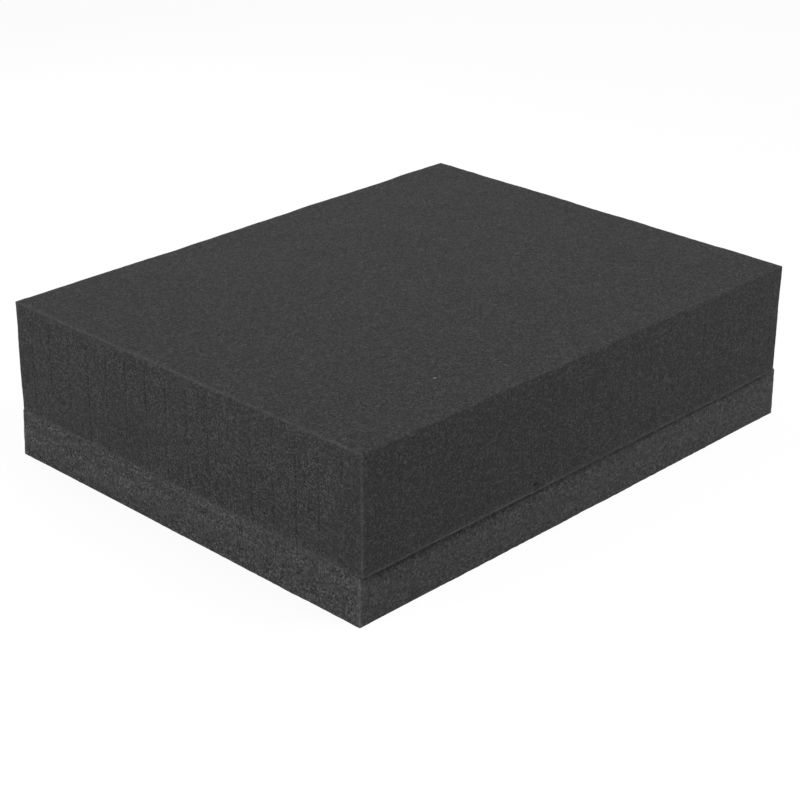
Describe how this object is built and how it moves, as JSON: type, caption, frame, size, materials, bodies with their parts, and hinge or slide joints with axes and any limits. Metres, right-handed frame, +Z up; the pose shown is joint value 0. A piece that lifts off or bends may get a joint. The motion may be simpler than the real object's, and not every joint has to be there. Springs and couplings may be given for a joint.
{
  "type": "pick and pluck foam insert",
  "caption": "Case insert of two foam layers: a slab slit into square columns that tear out by hand to shape a pocket, on a plain base pad.",
  "frame": {"origin": "under the middle of the slab, on the underside of the base pad", "axes": "+X along the long side, +Y along the short side, +Z up through the thickness"},
  "size_m": [0.3166, 0.2512, 0.0865],
  "materials": {
    "slab_foam": "matt, fine open-cell polyurethane foam, charcoal",
    "pad_foam": "matt, coarser open-cell polyurethane foam, charcoal grey"
  },
  "bodies": {
    "root": {"pluck_slab": "slab_foam", "base_pad": "pad_foam"}
  },
  "joints": []
}
